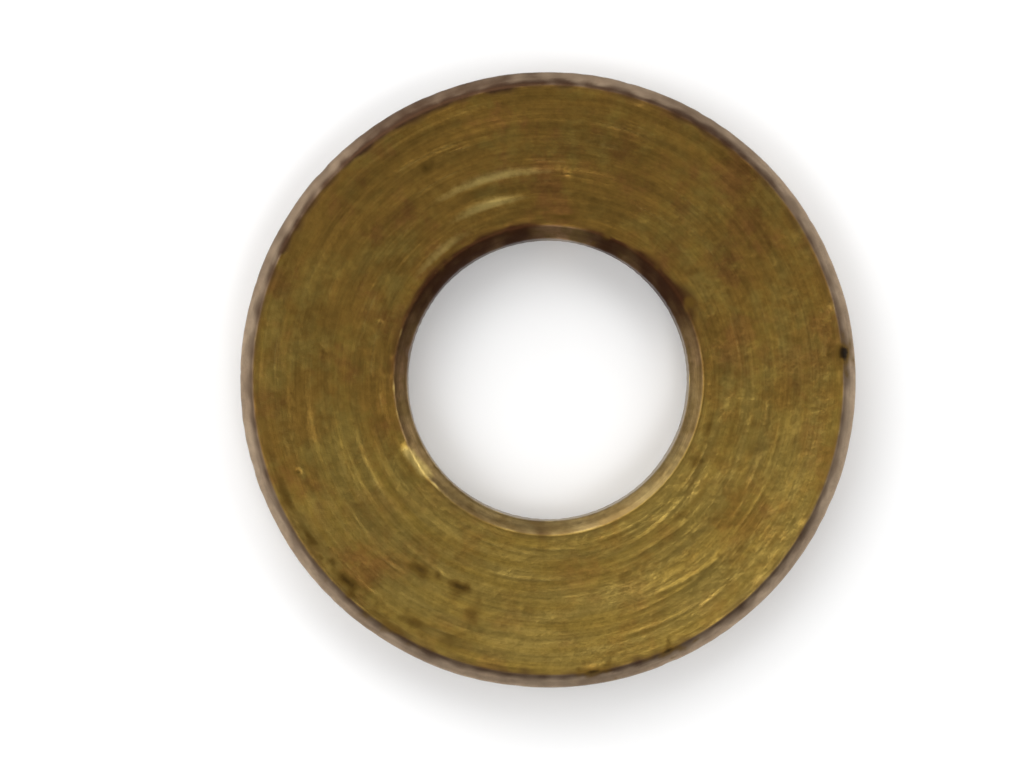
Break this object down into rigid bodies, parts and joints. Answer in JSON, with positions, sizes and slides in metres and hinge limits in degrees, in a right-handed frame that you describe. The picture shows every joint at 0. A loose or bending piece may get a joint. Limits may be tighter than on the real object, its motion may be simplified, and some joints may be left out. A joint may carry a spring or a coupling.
{
  "type": "flat washer",
  "caption": "Turned brass flat washer with a central bolt hole and chamfered edges, which spreads the load under a bolt head or nut.",
  "frame": {"origin": "centre of the bore on the seating face, the lower flat face", "axes": "+Z along the bore's axis, from the seating face to the head face; X and Y are alike, since the washer is round"},
  "size_m": [0.014, 0.014, 0.0016],
  "materials": {
    "brass": "turned, aged to a dull olive brown, with rubbed edges"
  },
  "bodies": {
    "root": {"washer": "brass"}
  },
  "joints": []
}
